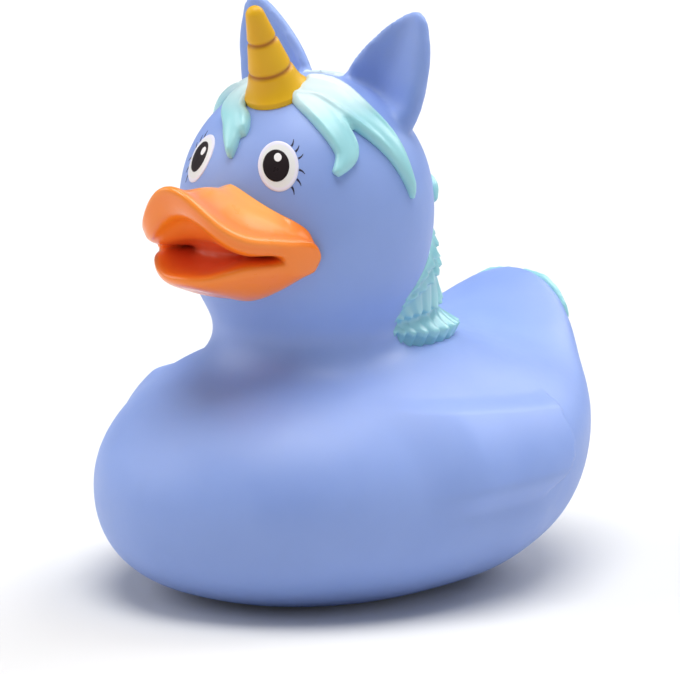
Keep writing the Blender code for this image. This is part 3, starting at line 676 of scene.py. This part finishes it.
def hair_tree():
    """Geometry nodes that sweep a lock along each path, as wide and high as the path says."""
    tree = bpy.data.node_groups.new("hair_lock", "GeometryNodeTree")
    face = tree.interface
    face.new_socket("Geometry", in_out="INPUT", socket_type="NodeSocketGeometry")
    for name in ("Thickness", "Sink", "Profile Radius"):
        face.new_socket(name, in_out="INPUT", socket_type="NodeSocketFloat")
    face.new_socket("Sides", in_out="INPUT", socket_type="NodeSocketInt")
    face.new_socket("Material", in_out="INPUT", socket_type="NodeSocketMaterial")
    face.new_socket("Geometry", in_out="OUTPUT", socket_type="NodeSocketGeometry")
    given = tree.nodes.new("NodeGroupInput")
    path = tree.nodes.new("GeometryNodeMeshToCurve")
    round_ = tree.nodes.new("GeometryNodeCurvePrimitiveCircle")
    sweep = tree.nodes.new("GeometryNodeCurveToMesh")
    sweep.inputs["Fill Caps"].default_value = True
    here = tree.nodes.new("GeometryNodeInputPosition")
    centre = node(tree, "GeometryNodeInputNamedAttribute", data_type="FLOAT_VECTOR", Name="centre")
    out = node(tree, "GeometryNodeInputNamedAttribute", data_type="FLOAT_VECTOR", Name="out")
    half = node(tree, "GeometryNodeInputNamedAttribute", data_type="FLOAT", Name="half")
    off = node(tree, "ShaderNodeVectorMath", operation="SUBTRACT")
    rise = node(tree, "ShaderNodeVectorMath", operation="DOT_PRODUCT")
    upward = node(tree, "ShaderNodeVectorMath", operation="SCALE")
    sideways = node(tree, "ShaderNodeVectorMath", operation="SUBTRACT")
    wide = node(tree, "ShaderNodeVectorMath", operation="SCALE")
    raised = node(tree, "ShaderNodeMath", operation="MULTIPLY")
    raised.inputs[1].default_value = 1.5
    limit = node(tree, "ShaderNodeMath", operation="MINIMUM")
    above = node(tree, "ShaderNodeMath", operation="GREATER_THAN")
    above.inputs[1].default_value = 0.0
    pick = node(tree, "GeometryNodeSwitch", input_type="FLOAT")
    high = node(tree, "ShaderNodeVectorMath", operation="SCALE")
    both = node(tree, "ShaderNodeVectorMath", operation="ADD")
    small = node(tree, "ShaderNodeMath", operation="DIVIDE")
    small.inputs[0].default_value = 1.0
    unit = node(tree, "ShaderNodeVectorMath", operation="SCALE")
    moved = node(tree, "ShaderNodeVectorMath", operation="ADD")
    place = tree.nodes.new("GeometryNodeSetPosition")
    real = tree.nodes.new("GeometryNodeRealizeInstances")
    finish = tree.nodes.new("GeometryNodeSetMaterial")
    made = tree.nodes.new("NodeGroupOutput")
    for source, output, target, slot in (
        (given, "Geometry", path, "Mesh"),
        (given, "Sides", round_, "Resolution"),
        (given, "Profile Radius", round_, "Radius"),
        (path, "Curve", sweep, "Curve"),
        (round_, "Curve", sweep, "Profile Curve"),
        (here, "Position", off, 0),
        (centre, "Attribute", off, 1),
        (off, "Vector", rise, 0),
        (out, "Attribute", rise, 1),
        (out, "Attribute", upward, 0),
        (rise, "Value", upward, "Scale"),
        (off, "Vector", sideways, 0),
        (upward, "Vector", sideways, 1),
        (sideways, "Vector", wide, 0),
        (half, "Attribute", wide, "Scale"),
        (half, "Attribute", raised, 0),
        (raised, "Value", limit, 0),
        (given, "Thickness", limit, 1),
        (rise, "Value", above, 0),
        (above, "Value", pick, "Switch"),
        (given, "Sink", pick, "False"),
        (limit, "Value", pick, "True"),
        (upward, "Vector", high, 0),
        (pick, "Output", high, "Scale"),
        (wide, "Vector", both, 0),
        (high, "Vector", both, 1),
        (given, "Profile Radius", small, 1),
        (both, "Vector", unit, 0),
        (small, "Value", unit, "Scale"),
        (centre, "Attribute", moved, 0),
        (unit, "Vector", moved, 1),
        (sweep, "Mesh", place, "Geometry"),
        (moved, "Vector", place, "Position"),
        (place, "Geometry", real, "Geometry"),
        (real, "Geometry", finish, "Geometry"),
        (given, "Material", finish, "Material"),
        (finish, "Geometry", made, "Geometry"),
    ):
        tree.links.new(source.outputs[output], target.inputs[slot])
    return tree


HAIR = hair_tree()


def swept(name, paths, thickness, sink, sides, material):
    """Locks swept along paths, each a list of places, ways out of the surface and half widths."""
    data = bpy.data.meshes.new(name)
    points = [place for path in paths for place, out, half in path]
    edges = []
    start = 0
    for path in paths:
        edges += [(start + i, start + i + 1) for i in range(len(path) - 1)]
        start += len(path)
    data.from_pydata(points, edges, [])
    rows = [row for path in paths for row in path]
    centre = data.attributes.new("centre", "FLOAT_VECTOR", "POINT")
    centre.data.foreach_set("vector", [number for place, way, width in rows for number in place])
    out = data.attributes.new("out", "FLOAT_VECTOR", "POINT")
    out.data.foreach_set("vector", [number for place, way, width in rows for number in way])
    half = data.attributes.new("half", "FLOAT", "POINT")
    half.data.foreach_set("value", [width for place, way, width in rows])
    piece = bpy.data.objects.new(name, data)
    bpy.context.scene.collection.objects.link(piece)
    sweep = piece.modifiers.new("Sweep", "NODES")
    sweep.node_group = HAIR
    items = [item for item in HAIR.interface.items_tree if item.in_out == "INPUT"]
    inputs = {item.name: item.identifier for item in items}
    sweep[inputs["Thickness"]] = thickness
    sweep[inputs["Sink"]] = sink
    sweep[inputs["Profile Radius"]] = PROFILE_RADIUS
    sweep[inputs["Sides"]] = sides
    sweep[inputs["Material"]] = material
    settle(piece)
    for attribute in ("centre", "out", "half"):
        if attribute in piece.data.attributes:
            piece.data.attributes.remove(piece.data.attributes[attribute])
    return piece


def on_head(turn, height, proud=0.0):
    """A place on the head, turned from straight ahead to the left, and the way out of it."""
    out = Vector((math.sin(turn), -math.cos(turn), 0.0))
    below = head_radius(height - 0.0004)
    above = head_radius(height + 0.0004)
    slope = Vector((out.x * 0.0008, out.y * 0.0008, below - above)).normalized()
    place = Vector((0.0, HEAD_AXIS_Y + CHEST_TO_MIDDLE, height)) + out * head_radius(height)
    return place + slope * proud, slope


def lock_path(places, widths, on_surface, steps=8):
    """A lock's path over a surface through a few places, with its half width along it."""
    rows = []
    given = [(*place, width) for place, width in zip(places, widths)]
    for turn, height, proud, width in curve_through(given, steps):
        place, way = on_surface(turn, height, proud)
        rows.append((place, way, 0.5 * max(width, 0.0004)))
    return rows


def beside(path, shift, share, lift):
    """A strand that follows a lock at a share of its half width to one side, a little prouder."""
    rows = []
    for i, (place, way, half) in enumerate(path):
        ahead = path[min(i + 1, len(path) - 1)][0] - path[max(i - 1, 0)][0]
        across = ahead.cross(way).normalized()
        fade = math.sin(math.pi * (i + 1) / (len(path) + 1)) ** 0.5
        moved = place + across * half * shift + way * lift * fade
        rows.append((moved, way, max(half * share, 0.0001)))
    return rows


def fringe():
    """Both long strands, the short lock at the left brow and the barbed one beside the horn."""
    strand = ((33, 0.0188), (60, 0.0180), (76, 0.0143), (85, 0.0108), (90, 0.0068), (93, 0.0020))
    left = ((36, 0.0182), (48, 0.0158), (56, 0.0126), (58, 0.0098), (51, 0.0070))
    right = ((-36, 0.0182), (-26, 0.0160), (-13, 0.0139), (-6, 0.0112), (-3, 0.0088))
    far = (
        (-42, 0.0189), (-72, 0.0176), (-86, 0.0143),
        (-93, 0.0108), (-97, 0.0068), (-100, 0.0020),
    )
    barb = ((-18, 0.0156), (-8, 0.0146), (-2, 0.0134), (1, 0.0122))
    paths = []
    for places, widths in (
        (strand, (1.10, 1.15, 0.92, 0.70, 0.46, 0.12)),
        (far, (0.80, 0.95, 0.85, 0.70, 0.46, 0.12)),
        (left, (0.85, 0.80, 0.72, 0.62, 0.22)),
        (right, (0.80, 0.74, 0.60, 0.44, 0.12)),
        (barb, (0.36, 0.42, 0.30, 0.08)),
    ):
        path = [(math.radians(turn), HEAD_CENTRE_HEIGHT + rise, 0.0) for turn, rise in places]
        main = lock_path(path, [FRINGE_WIDTH * width for width in widths], on_head)
        paths.append(main)
        for shift in RIB_PLACES:
            paths.append(beside(main, shift, RIB_SHARE, RIB_LIFT if shift else MIDRIB_LIFT))
    return swept("fringe", paths, LOCK_THICKNESS, LOCK_SINK, LOCK_SIDES, aqua)


dress(melt([fringe()], "fringe", FRINGE_VOXEL, 3), aqua)


# The mane fills the nape with a wedge of hair: tiers of combed strands that lap like tiles, with
# locks over the crown above them and a tuft on each side. It is one relief in the moulding, in
# the same aqua, with painted shade darkening its valleys.
MANE_TOP = HEAD_CENTRE_HEIGHT + 0.0039
MANE_SWELL_TOP = HEAD_CENTRE_HEIGHT - 0.0040
MANE_BOTTOM = BACK_HEIGHT - 0.0018
MANE_SIDE_HEIGHT = NECK_WAIST_HEIGHT + 0.001
MANE_SIDE_DROP = 0.0006
MANE_HALF = math.radians(92)
MANE_REACH = 0.0145
MANE_REACH_LIMIT = 0.92
MANE_SWELL = 1.2
MANE_SINK = 0.0010
MANE_BED = 0.0004
MANE_RELIEF = 0.0025
MANE_STRANDS = 17
MANE_PARTING = 0.85
MANE_FAN = 0.8
MANE_TIER_SHIFT = 0.13
MANE_ROOT = 0.18
MANE_LAP = 0.14
MANE_LAP_RUN = 0.08
MANE_SIDE_FADE = 0.5
MANE_FOOT = 0.0030
MANE_FOOT_SHARE = 0.93
MANE_LEVELS = 170
MANE_COLUMNS = 300
MANE_CORE = 0.005
MANE_TIERS = ((-0.08, 0.34), (0.22, 0.66), (0.61, 0.90), (0.84, 1.12))
CREST_THICKNESS = 0.0008
CREST_REACH = 0.0197
CREST_FALL = math.radians(94)
CREST_SPREAD = math.radians(17)
CREST_LOCKS = 3
CREST_WIDTHS = (0.0040, 0.0062, 0.0062, 0.0058, 0.0026)
CREST_WAVE = 0.05
CREST_BED = 0.0005
CREST_RIB_PLACES = (-0.6, 0.6)
CREST_RIB_SHARE = 0.28
CREST_RIB_LIFT = 0.0003
TUFT_TURN = math.radians(41)
TUFT_PATH = ((-15, 0.0020, 0.0), (-8, 0.0018, 0.0002), (-1, 0.0009, 0.0005), (4, -0.0009, -0.0003))
TUFT_WIDTHS = (0.0024, 0.0032, 0.0028, 0.0006)
MANE_VOXEL = 0.0003


def mane_levels(turn):
    """The lower and upper edge of the mane at a turn: it climbs and narrows towards the cheeks."""
    off = min(abs(turn - math.pi) / MANE_HALF, 1.0)
    low = MANE_BOTTOM + (MANE_SIDE_HEIGHT - MANE_SIDE_DROP - MANE_BOTTOM) * off * off
    return low, MANE_SIDE_HEIGHT + (MANE_TOP - MANE_SIDE_HEIGHT) * (1 - off)


def on_mane(turn, share, proud=0.0):
    """A place on the wedge of hair that fills the nape, and the way out of it."""
    low, high = mane_levels(turn)
    height = low + share * (high - low)
    side = min(max(math.cos(turn - math.pi), 0.0) ** 2, MANE_REACH_LIMIT)

    def reach(z):
        fall = max((MANE_SWELL_TOP - z) / (MANE_SWELL_TOP - MANE_BOTTOM), 0.0)
        return head_radius(z) - MANE_SINK + side * MANE_REACH * fall ** MANE_SWELL

    out = Vector((math.sin(turn), -math.cos(turn), 0.0))
    rise = 0.0005
    lean = Vector((0.0, 0.0, reach(height - rise) - reach(height + rise)))
    slope = (out * 2 * rise + lean).normalized()
    axis = Vector((0.0, HEAD_AXIS_Y + CHEST_TO_MIDDLE, height))
    return axis + out * reach(height) + slope * proud, slope


def ruffle(turn, share):
    """How far the hair stands off the wedge: lapping tiers, combed into strands that fan out."""
    off = abs(turn - math.pi)
    proud = 0.0
    for tier, (bottom, top) in enumerate(MANE_TIERS):
        fall = (top - share) / (top - bottom)
        if fall <= 0:
            continue
        spread = (off - MANE_PARTING) * (1 + MANE_FAN * fall * fall)
        comb = MANE_STRANDS * (spread + MANE_TIER_SHIFT * tier)
        strand = abs(math.cos(comb)) ** 0.8
        second = abs(math.cos(2.3 * comb + 0.7)) ** 0.8
        edge = ease((1 - MANE_LAP + MANE_LAP * strand - fall) / MANE_LAP_RUN)
        height = (MANE_ROOT + (1 - MANE_ROOT) * fall ** 1.2) * edge
        proud = max(proud, height * (0.58 + 0.34 * strand + 0.08 * second))
    fade = ease((1 - off / MANE_HALF) / 0.10)
    return MANE_RELIEF * proud * fade * (1 - MANE_SIDE_FADE * ease((off - 0.6) / 0.6))


def mane_stack():
    """The wedge that fills the nape with its tiers of hair."""
    rings = []
    back = Vector((0.0, CHEST_TO_MIDDLE, 0.0))
    for i in range(MANE_LEVELS + 1):
        share = -0.04 + 1.1 * i / MANE_LEVELS
        ring = []
        for k in range(MANE_COLUMNS + 1):
            turn = math.pi + MANE_HALF * (2 * k / MANE_COLUMNS - 1)
            ring.append(on_mane(turn, share, ruffle(turn, share) - MANE_BED)[0] - back)
        height = MANE_BOTTOM + (MANE_TOP - MANE_BOTTOM) * share
        ring += [Vector((x, HEAD_AXIS_Y, height)) for x in (MANE_CORE, -MANE_CORE)]
        rings.append(ring)
    axis = Vector((0.0, HEAD_AXIS_Y, MANE_BOTTOM))
    drop = Vector((0.0, 0.0, MANE_FOOT))
    foot = [axis + MANE_FOOT_SHARE * (point - axis) - drop for point in rings[0]]
    return loft("mane_stack", [foot, *rings])


def store_valley_shade(piece):
    """Stores on the mane how deep each place lies between its strands, for painted shade in the
    valleys.
    """
    middle = HEAD_AXIS_Y + CHEST_TO_MIDDLE
    depths = []
    for vertex in piece.data.vertices:
        x, y, z = vertex.co
        turn = math.atan2(x, middle - y) % math.tau
        low, high = mane_levels(turn)
        share = (z - low) / (high - low)
        hidden = 1 - ruffle(turn, share) / (0.8 * MANE_RELIEF)
        hidden *= ease((1.02 - share) / 0.08) * ease((1 - abs(turn - math.pi) / MANE_HALF) / 0.15)
        depths.append(max(hidden, 0.0))
    valley = piece.data.attributes.new("valley", "FLOAT", "POINT")
    valley.data.foreach_set("value", depths)


def mane():
    """The tiers of hair down the nape, locks over the crown and a tuft on each side."""
    paths = []
    for i in range(CREST_LOCKS):
        fan = i - (CREST_LOCKS - 1) / 2
        path = []
        for step, share in enumerate((0.0, 0.25, 0.5, 0.75, 1.0)):
            height = HEAD_CENTRE_HEIGHT + CREST_REACH * math.cos(share * CREST_FALL)
            turn = math.pi - fan * CREST_SPREAD * (1.2 - 0.2 * share) + CREST_WAVE * (-1) ** step
            path.append((turn, height, -CREST_BED * (1 - share)))
        lock = lock_path(path, CREST_WIDTHS, on_head)
        paths.append(lock)
        for shift in CREST_RIB_PLACES:
            paths.append(beside(lock, shift, CREST_RIB_SHARE, CREST_RIB_LIFT))
    for side in (-1, 1):
        path = [
            (math.pi + side * (TUFT_TURN + math.radians(turn)), HEAD_CENTRE_HEIGHT + rise, proud)
            for turn, rise, proud in TUFT_PATH
        ]
        paths.append(lock_path(path, TUFT_WIDTHS, on_head))
    crest = swept("crest", paths, CREST_THICKNESS, LOCK_SINK, LOCK_SIDES, aqua)
    piece = melt([mane_stack(), crest], "mane", MANE_VOXEL, 1)
    store_valley_shade(piece)
    return piece


dress(mane(), aqua)


# The tail hair is a row of short locks laid over the tip of the cocked tail and down its back,
# moulded with it and painted the same aqua.
TAIL_HAIR_WIDTH = 0.0046
TAIL_HAIR_THICKNESS = 0.0009
TAIL_HAIR_LOCKS = 5
TAIL_HAIR_FALL = 0.0078
TAIL_HAIR_MIDDLE = 0.0022
TAIL_HAIR_WIDTHS = (0.55, 1.0, 0.85, 0.25)
TAIL_HAIR_PATH = (
    # spread, height over the tail's top, share of the drop, and how far it stands off
    (0.0012, -0.0016, 0.0, -0.0004),
    (0.0060, -0.0018, 0.25, 0.0),
    (0.0098, -0.0012, 0.6, 0.0),
    (0.0124, 0.0, 1.0, 0.0),
)
TAIL_RIB_SHARE = 0.4
TAIL_RIB_LIFT = 0.0003


def on_tail(across, height, proud=0.0):
    """The place on the skin nearest to a point behind the tail, and the way out of it."""
    aim = Vector((across, TAIL_REACH + CHEST_TO_MIDDLE, height))
    place, way = skin_tree.find_nearest(aim)[:2]
    return place + way * proud, way


def tail_hair():
    """Short locks that fan out from the top of the tail."""
    paths = []
    for i in range(TAIL_HAIR_LOCKS):
        fan = 2 * i / (TAIL_HAIR_LOCKS - 1) - 1
        drop = TAIL_HAIR_FALL + TAIL_HAIR_MIDDLE * (1 - abs(fan))
        path = [
            (fan * spread, TAIL_HEIGHT + rise - share * drop, proud)
            for spread, rise, share, proud in TAIL_HAIR_PATH
        ]
        widths = [TAIL_HAIR_WIDTH * width for width in TAIL_HAIR_WIDTHS]
        lock = lock_path(path, widths, on_tail)
        paths += [lock, beside(lock, 0.0, TAIL_RIB_SHARE, TAIL_RIB_LIFT)]
    return swept("tail_hair", paths, TAIL_HAIR_THICKNESS, LOCK_SINK, LOCK_SIDES, aqua)


dress(melt([tail_hair()], "tail_hair", FRINGE_VOXEL, 3), aqua)


# The eyes are pad-printed on the head: a white oval with a faint lilac rim, a near-black pupil
# and a round catchlight. Each ink is a film a few hundredths of a millimetre thick.
EYE_FILM = 0.00005
INK_STEP = 0.00004
FILM_ROOT = 0.00025
LEFT_EYE = (math.radians(23.4), 0.0084, math.radians(-15))
RIGHT_EYE = (math.radians(-28.0), 0.0080, math.radians(15))
WHITE_SIZE = (0.0032, 0.0041)
PUPIL_SIZE = (0.0021, 0.0026)
PUPIL_PLACE = (-0.0003, 0.0001)
DOT_SIZE = (0.0006, 0.0007)
DOT_PLACE = (0.0002, 0.0013)
FILM_RINGS = 14
FILM_SPOKES = 72
WHITE_RIM = (0.82, 0.90)


def on_skin(point, way):
    """The place on the finished skin under a point, looking in along the way out of it."""
    start = point + way * 0.004
    return skin_tree.ray_cast(start, -way)[:2]


def eye_axes(eye):
    """The middle of an eye, the way out of the head there, and the eye's wide and tall ways."""
    turn, rise, tilt = eye
    middle, out = on_head(turn, HEAD_CENTRE_HEIGHT + rise)
    right = Vector((0, 0, 1)).cross(out).normalized()
    up = out.cross(right)
    tall = up * math.cos(tilt) + right * math.sin(tilt)
    wide = right * math.cos(tilt) - up * math.sin(tilt)
    return middle, out, wide, tall


def film(name, eye, size, place, lift):
    """A thin oval of ink laid on the skin, with its centre and long axis set by the eye."""
    middle, out, wide, tall = eye_axes(eye)
    middle = middle + wide * place[0] + tall * place[1]
    centre_point, centre_way = on_skin(middle, out)
    tops = [centre_point + centre_way * lift]
    share = [0.0]
    for ring in range(1, FILM_RINGS + 1):
        part = ring / FILM_RINGS
        for k in range(FILM_SPOKES):
            a = math.tau * k / FILM_SPOKES
            spot = middle + (wide * size[0] * math.cos(a) + tall * size[1] * math.sin(a)) * part
            hit, way = on_skin(spot, out)
            tops.append(hit + way * lift)
            share.append(part)
    count = len(tops)
    lows = [top - out * (lift + FILM_ROOT) for top in tops]
    faces = []
    for level in (0, count):
        for k in range(FILM_SPOKES):
            j = (k + 1) % FILM_SPOKES
            faces.append((level, level + 1 + k, level + 1 + j))
            for ring in range(FILM_RINGS - 1):
                a = level + 1 + ring * FILM_SPOKES
                faces.append((a + k, a + FILM_SPOKES + k, a + FILM_SPOKES + j, a + j))
    edge = 1 + (FILM_RINGS - 1) * FILM_SPOKES
    for k in range(FILM_SPOKES):
        j = (k + 1) % FILM_SPOKES
        faces.append((edge + k, count + edge + k, count + edge + j, edge + j))
    back = Vector((0.0, CHEST_TO_MIDDLE, 0.0))
    made = solid(name, [point - back for point in tops + lows], faces)
    rim = made.data.attributes.new("rim", "FLOAT", "POINT")
    for i, value in enumerate(share + share):
        rim.data[i].value = value
    return made


white = surface("white_print", (0.80, 0.81, 0.80), (0.77, 0.78, 0.765), 0.35, 0.00001)
band = ramp(white.node_tree, *WHITE_RIM)
white.node_tree.links.new(stored(white, "rim"), band.inputs["Value"])
tint(white, band.outputs["Result"], (0.80, 0.78, 0.90))
black = surface("black_print", (0.020, 0.014, 0.016), (0.015, 0.010, 0.012), 0.30, 0.00001)
tune(black, {"Specular IOR Level": 0.2})
dot_white = surface("catchlight_print", (0.90, 0.90, 0.90), (0.88, 0.88, 0.88), 0.3, 0.00001)
for side, eye in (("left", LEFT_EYE), ("right", RIGHT_EYE)):
    dress(film("eye_white_" + side, eye, WHITE_SIZE, (0.0, 0.0), EYE_FILM), white)
    pupil = film("pupil_" + side, eye, PUPIL_SIZE, PUPIL_PLACE, EYE_FILM + INK_STEP)
    dress(pupil, black)
    dot = film("catchlight_" + side, eye, DOT_SIZE, DOT_PLACE, EYE_FILM + 2 * INK_STEP)
    dress(dot, dot_white)


# The lashes are six fine printed strokes that fan from the outer edge of each eye, each one a
# tapered film swept along its path over the skin.
LASH_WIDTH = 0.00042
LASH_FILM = 0.00005
LASH_ANGLES = (40, 24, 7, -18, -40, -62)
LASH_SPRING = 1.03
LASH_LENGTH = 0.29
LASH_BEND = math.radians(5)
LASH_STEPS = 8
LASH_SIDES = 8
lash_ink = surface("lash_print", (0.020, 0.020, 0.055), (0.016, 0.016, 0.045), 0.3, 0.00001)


def lashes(name, eye, side):
    """Six strokes round the outer half of the white."""
    middle, out, wide, tall = eye_axes(eye)
    paths = []
    for degrees in LASH_ANGLES:
        angle = math.radians(degrees)
        path = []
        for step in range(LASH_STEPS + 1):
            share = step / LASH_STEPS
            reach = LASH_SPRING + LASH_LENGTH * share
            bend = angle + math.copysign(LASH_BEND, angle) * share * share
            across = wide * side * WHITE_SIZE[0] * math.cos(bend)
            spot = middle + (across + tall * WHITE_SIZE[1] * math.sin(bend)) * reach
            place, way = on_skin(spot, out)
            path.append((place, way, LASH_WIDTH * (0.5 - 0.38 * share)))
        paths.append(path)
    return swept(name, paths, LASH_FILM, FILM_ROOT, LASH_SIDES, lash_ink)


dress(lashes("lashes_left", LEFT_EYE, 1), lash_ink)
dress(lashes("lashes_right", RIGHT_EYE, -1), lash_ink)


# The studio: a plain pale floor under an even sky, with soft far lamps overhead, behind, left and
# right, and a camera at the photograph's height and side.
PHOTO_SIZE = (680, 674)
CAMERA_TURN = math.radians(37)
CAMERA_RISE = math.radians(10.5)
CAMERA_DISTANCE = 1.0
PIXELS_PER_METRE = 6250
AIM_LEVEL = 0.047
AIM_PIXEL = (349.4, 282.8)
AIM_BEHIND_MIDDLE = 0.0015 + CHEST_TO_MIDDLE
SENSOR = 36.0


def direction(turn, rise):
    """The way out to a side and a height, with straight ahead as 0."""
    level = math.cos(rise)
    return Vector((math.sin(turn) * level, -math.cos(turn) * level, math.sin(rise)))


away = direction(CAMERA_TURN, CAMERA_RISE)
right = Vector((math.cos(CAMERA_TURN), math.sin(CAMERA_TURN), 0.0))
upright = away.cross(right)
aim = Vector((0.0, AIM_BEHIND_MIDDLE, AIM_LEVEL))
stand = aim + away * CAMERA_DISTANCE
look = (
    aim
    + right * (0.5 * PHOTO_SIZE[0] - AIM_PIXEL[0]) / PIXELS_PER_METRE
    - upright * (0.5 * PHOTO_SIZE[1] - AIM_PIXEL[1]) / PIXELS_PER_METRE
)
lens = bpy.data.cameras.new("camera")
lens.sensor_width = SENSOR
lens.lens = SENSOR * PIXELS_PER_METRE * CAMERA_DISTANCE / PHOTO_SIZE[0]
lens.clip_start = 0.01
lens.clip_end = 10.0
camera = bpy.data.objects.new("camera", lens)
camera.location = stand
camera.rotation_euler = (look - stand).to_track_quat("-Z", "Y").to_euler()
bpy.context.scene.collection.objects.link(camera)
bpy.context.scene.camera = camera

FLOOR_SIZE = 3.0
FLOOR_ALBEDO = 0.70
FLOOR_GLOW = 0.01


def seen_by(tree, ray):
    """The socket that gives 1 for the camera's rays and one other kind, and 0 for the rest."""
    rays = node(tree, "ShaderNodeLightPath")
    seen = node(tree, "ShaderNodeMath", operation="MAXIMUM")
    tree.links.new(rays.outputs["Is Camera Ray"], seen.inputs[0])
    tree.links.new(rays.outputs[ray], seen.inputs[1])
    return seen.outputs["Value"]


half_floor = 0.5 * FLOOR_SIZE
sheet_mesh = bpy.data.meshes.new("floor")
corners = [(half_floor * x, half_floor * y, 0) for x, y in ((-1, -1), (1, -1), (1, 1), (-1, 1))]
sheet_mesh.from_pydata(corners, [], [(0, 1, 2, 3)])
floor = bpy.data.objects.new("floor", sheet_mesh)
bpy.context.scene.collection.objects.link(floor)
paper = bpy.data.materials.new("floor_paper")
paper.use_nodes = True
tree = paper.node_tree
shader = tree.nodes["Principled BSDF"]
shader.inputs["Base Color"].default_value = (FLOOR_ALBEDO, FLOOR_ALBEDO, FLOOR_ALBEDO, 1.0)
shader.inputs["Roughness"].default_value = 0.9
shader.inputs["Specular IOR Level"].default_value = 0.0
glow = node(tree, "ShaderNodeMath", operation="MULTIPLY")
glow.inputs[1].default_value = FLOOR_GLOW
tree.links.new(seen_by(tree, "Is Glossy Ray"), glow.inputs[0])
shader.inputs["Emission Color"].default_value = (1.0, 1.0, 1.0, 1.0)
tree.links.new(glow.outputs["Value"], shader.inputs["Emission Strength"])
floor.data.materials.append(paper)

WORLD_LIGHT = 0.20
world = bpy.data.worlds.new("studio")
bpy.context.scene.world = world
world.use_nodes = True
tree = world.node_tree
backdrop = tree.nodes["Background"]
backdrop.inputs["Color"].default_value = (1.0, 1.0, 1.0, 1.0)
level = ramp(tree, 0.0, 1.0, start=WORLD_LIGHT)
tree.links.new(seen_by(tree, "Is Transmission Ray"), level.inputs["Value"])
tree.links.new(level.outputs["Result"], backdrop.inputs["Strength"])


def sun(name, turn, rise, strength, spread):
    """A far soft lamp from a side and a height, in degrees."""
    lamp = bpy.data.lights.new(name, "SUN")
    lamp.energy = strength
    lamp.angle = math.radians(spread)
    made = bpy.data.objects.new(name, lamp)
    way = direction(math.radians(turn), math.radians(rise))
    made.rotation_euler = way.to_track_quat("Z", "Y").to_euler()
    bpy.context.scene.collection.objects.link(made)


for name, turn, rise, strength, spread in (
    ("overhead", 60, 86, 2.75, 45),
    ("behind", 170, 40, 1.4, 40),
    ("left", -60, 30, 1.15, 50),
    ("right", 105, 20, 0.3, 50),
):
    sun(name, turn, rise, strength, spread)

bpy.context.scene.view_settings.view_transform = "Standard"
